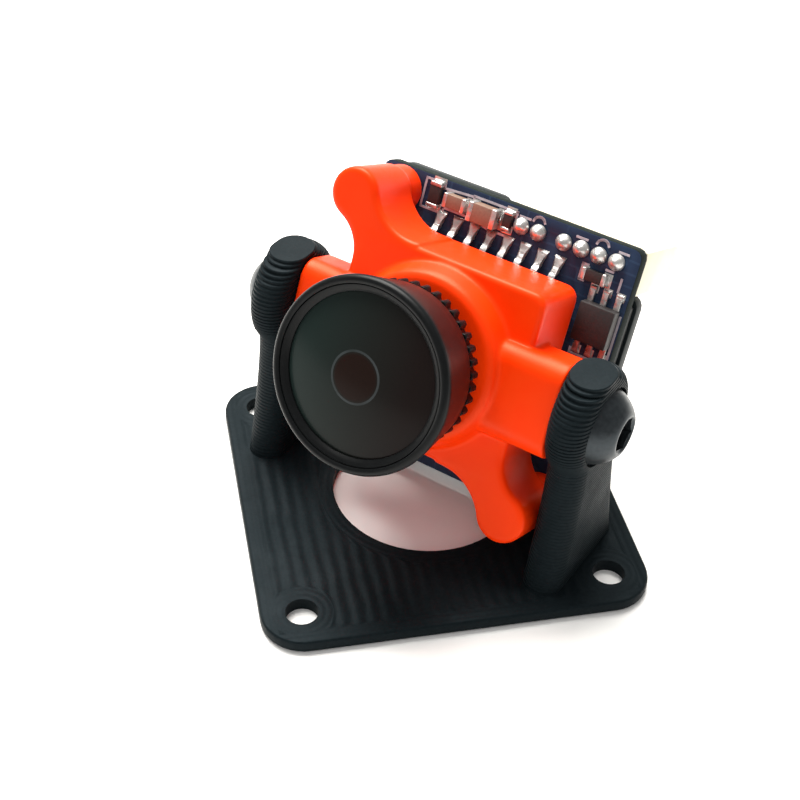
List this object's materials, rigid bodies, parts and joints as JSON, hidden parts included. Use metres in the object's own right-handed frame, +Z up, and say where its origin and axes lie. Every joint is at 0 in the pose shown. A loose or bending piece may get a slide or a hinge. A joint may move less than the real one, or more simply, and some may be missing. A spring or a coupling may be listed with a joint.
{
  "type": "tilting micro camera mount",
  "caption": "Printed base with two ears that clamp a micro camera by side screws, so it tilts; wide lens, bare boards and rear sockets.",
  "frame": {"origin": "centre of the base plate's underside", "axes": "+Z up; X along the tilt axis; the lens looks towards -Y, and the square base stands on its diagonal"},
  "size_m": [0.0334, 0.0334, 0.0217],
  "materials": {
    "printed_tpu": "black TPU, 3D printed, matte with layer lines",
    "orange_case": "moulded orange ABS, satin",
    "black_screw": "black oxide steel",
    "steel": "bright steel",
    "tin": "tinned metal and solder",
    "blue_board": "blue solder mask on glass-fibre board",
    "dark_board": "dark green-black solder mask",
    "cream_socket": "cream nylon",
    "black_package": "black moulded epoxy",
    "tan_ceramic": "tan ceramic chip with tinned ends",
    "black_lens": "black anodised, satin",
    "lens_glass": "coated optical glass",
    "black_rubber": "black silicone rubber",
    "silicon": "silicon die"
  },
  "bodies": {
    "mount": {"printed_mount": "printed_tpu"},
    "camera": {"left_pivot_screw": "black_screw", "right_pivot_screw": "black_screw", "front_case": "orange_case", "upper_case_screw": "steel", "lower_case_screw": "steel", "main_board": "blue_board", "rear_board": "dark_board", "left_header": "black_package", "right_header": "black_package", "menu_socket": "cream_socket", "power_socket": "cream_socket", "socket_pin_1": "tin", "socket_pin_2": "tin", "socket_pin_3": "tin", "socket_pin_4": "tin", "socket_pin_5": "tin", "socket_pin_6": "tin", "image_sensor": "black_package", "sensor_die": "silicon", "sensor_window": "lens_glass", "filter_gasket": "black_rubber", "ir_cut_filter": "lens_glass", "voltage_regulator": "black_package", "power_capacitor": "tan_ceramic", "signal_capacitor": "tan_ceramic", "bias_resistor": "black_package", "clamp_diode": "black_package", "output_resistor": "black_package", "signal_processor": "black_package", "memory_chip": "black_package", "crystal": "steel", "inductor": "black_package"},
    "lock_ring": {"lens_lock_ring": "black_lens"},
    "lens": {"lens_barrel": "black_lens", "front_retaining_ring": "black_lens", "front_element": "lens_glass", "baffle_ring": "black_lens", "second_element": "lens_glass", "aperture_disc": "black_lens", "rear_element": "lens_glass"}
  },
  "joints": [
    {"name": "camera_tilt", "type": "hinge", "parent": "mount", "child": "camera", "pos_m": [0, 0, 0.0124], "axis": [-1, 0, 0], "range_deg": [-113, 60]},
    {"name": "focus_travel", "type": "slide", "parent": "camera", "child": "lock_ring", "axis": [0, -0.9205, 0.3907], "range_m": [-0.0002, 0.0006]},
    {"name": "lens_turn", "type": "hinge", "parent": "lock_ring", "child": "lens", "pos_m": [0, 0, 0.0124], "axis": [0, -0.9205, 0.3907], "range_deg": [-146, 434]}
  ],
  "couplings": [
    {"joint": "lens_turn", "follows": "focus_travel", "rad_per_m": 12566}
  ]
}
